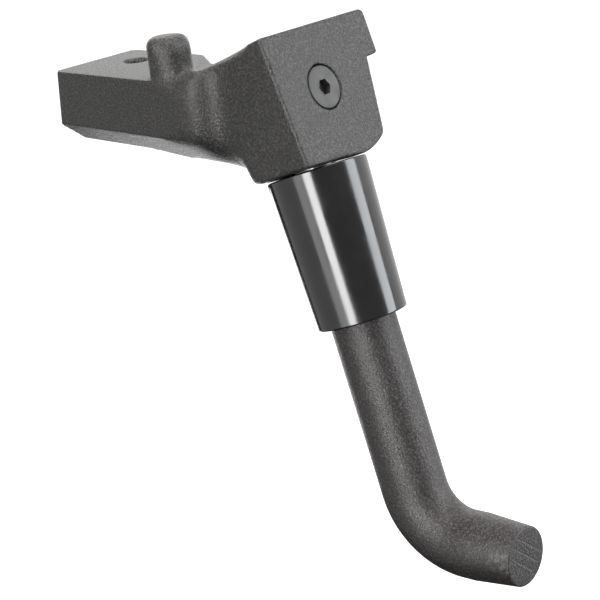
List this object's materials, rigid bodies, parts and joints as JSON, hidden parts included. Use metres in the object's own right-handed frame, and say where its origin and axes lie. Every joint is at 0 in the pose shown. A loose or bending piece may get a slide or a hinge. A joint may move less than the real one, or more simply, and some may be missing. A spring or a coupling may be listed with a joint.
{
  "type": "folding kickstand",
  "caption": "Folding kickstand with a cast mounting bracket, a sprung sleeve and a round leg bent to a short foot.",
  "frame": {"origin": "the deck bolt hole's axis where it meets the mounting face", "axes": "+Z out of the mounting face, +X outboard along the arm towards the leg, +Y the way the leg folds"},
  "size_m": [0.1505, 0.049, 0.1423],
  "materials": {
    "powder_coat": "die-cast aluminium, textured charcoal powder coat",
    "rod_coat": "steel, textured charcoal powder coat",
    "gloss_black": "steel, gloss black plating",
    "black_screw": "black oxide steel",
    "zinc_steel": "zinc-plated steel",
    "spring_steel": "spring steel",
    "bronze": "sintered bronze",
    "nylon": "black nylon"
  },
  "bodies": {
    "bracket": {"bracket_casting": "powder_coat", "pivot_screw": "black_screw"},
    "leg": {"leg_knuckle": "zinc_steel", "pivot_bush": "bronze", "thrust_washer_outer": "nylon", "thrust_washer_inner": "nylon", "leg_rod": "rod_coat", "rod_cross_pin": "zinc_steel", "spring_seat_washer": "zinc_steel"},
    "sleeve": {"spring_sleeve": "gloss_black", "sleeve_guide_bush": "nylon", "sleeve_spring": "spring_steel"}
  },
  "joints": [
    {"name": "leg_swing", "type": "hinge", "parent": "bracket", "child": "leg", "pos_m": [0.0571, 0.004, -0.00783], "axis": [0.9311, 0, 0.3649], "range_deg": [0, 84]},
    {"name": "sleeve_slide", "type": "slide", "parent": "leg", "child": "sleeve", "axis": [0.363, -0.1011, -0.9263], "range_m": [0, 0.0086], "stiffness_N_per_m": 1500, "springref_m": -0.01, "deforming": ["sleeve_spring"]}
  ],
  "couplings": [
    {"joint": "sleeve_slide", "follows": "leg_swing", "m_per_rad": 0.00573}
  ]
}
